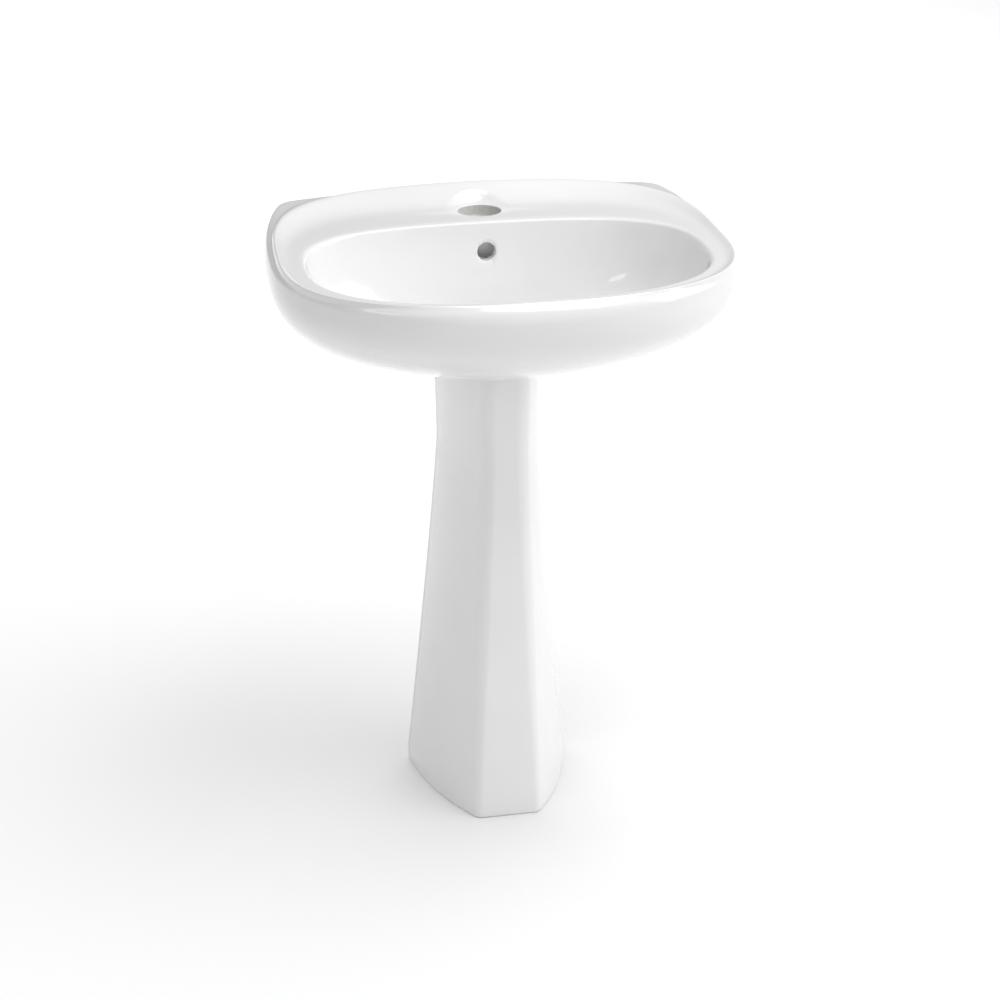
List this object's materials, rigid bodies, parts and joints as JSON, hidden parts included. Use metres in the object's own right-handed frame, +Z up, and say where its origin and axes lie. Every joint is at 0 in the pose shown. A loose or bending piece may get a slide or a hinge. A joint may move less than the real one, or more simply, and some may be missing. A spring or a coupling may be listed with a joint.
{
  "type": "pedestal sink",
  "caption": "Glazed ceramic washbasin with raised back deck on a tapered hollow pedestal, hung on wall bolts, with press-down waste stopper and P-trap",
  "frame": {"origin": "on the floor, under the middle of the overall bounding box", "axes": "+Z up, room side at -Y, wall at +Y, X = 0 is the symmetry plane"},
  "size_m": [0.6002, 0.5451, 0.8585],
  "materials": {
    "glaze": "white gloss glaze",
    "chrome": "polished chrome plate",
    "brass": "machined",
    "zinc_steel": "bright zinc plate",
    "spring_steel": "drawn wire",
    "rubber": "matt black",
    "nylon": "moulded",
    "white_plastic": "moulded"
  },
  "bodies": {
    "sink": {"basin": "glaze", "pedestal": "glaze", "waste_body": "chrome", "waste_nut": "brass", "stopper_guide": "brass", "hanger_bolts": "zinc_steel", "hanger_nuts": "zinc_steel", "hanger_washers": "zinc_steel", "waste_washer": "zinc_steel", "stopper_spring": "spring_steel", "flange_gasket": "rubber", "lower_gasket": "rubber", "tailpiece_seal": "rubber", "trap_inlet_washer": "rubber", "trap_outlet_washer": "rubber", "hanger_bushes": "nylon", "tailpiece": "white_plastic", "trap_bend": "white_plastic", "trap_arm": "white_plastic", "trap_inlet_nut": "white_plastic", "trap_outlet_nut": "white_plastic", "wall_flange": "white_plastic"},
    "stopper": {"stopper_cap": "chrome", "stopper_seal": "rubber", "stopper_stem": "brass"}
  },
  "joints": [
    {"name": "stopper_slide", "type": "slide", "parent": "sink", "child": "stopper", "axis": [0, 0, -1], "range_m": [0, 0.009], "stiffness_N_per_m": 300, "springref_m": -0.01, "deforming": ["stopper_spring"]}
  ]
}
